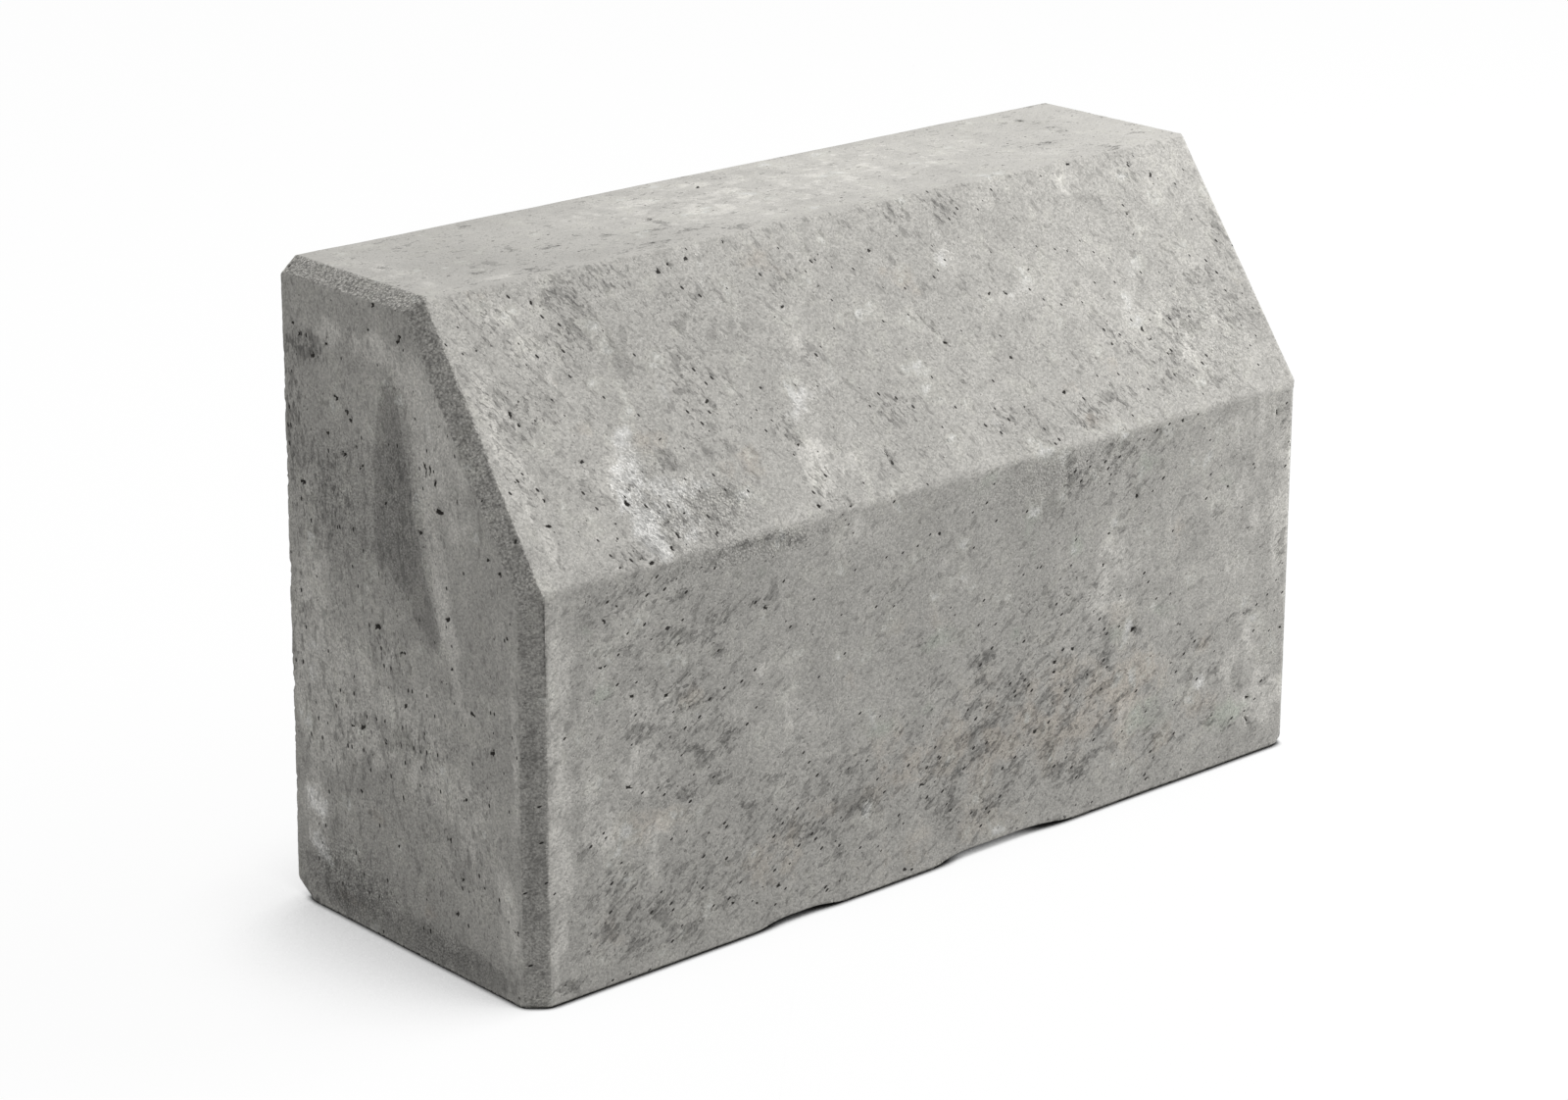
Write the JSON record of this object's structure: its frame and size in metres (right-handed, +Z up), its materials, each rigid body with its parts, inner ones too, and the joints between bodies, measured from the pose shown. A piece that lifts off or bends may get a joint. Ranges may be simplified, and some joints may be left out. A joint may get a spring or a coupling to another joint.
{
  "type": "concrete kerb stone",
  "caption": "Short precast concrete kerb stone: flat tread, splayed upper road face, upright lower face, chamfered butt ends and a flat bed.",
  "frame": {"origin": "middle of the bed, level with the floor that the stone stands on", "axes": "+X along the kerb from the left butt end to the right one as seen from the road, +Y from the road face to the back, +Z up from the bed to the tread"},
  "size_m": [0.413, 0.15, 0.255],
  "materials": {
    "concrete": "cast concrete, matt, sandy grain with small air holes and cloudy stains"
  },
  "bodies": {
    "root": {"kerb_stone": "concrete"}
  },
  "joints": []
}
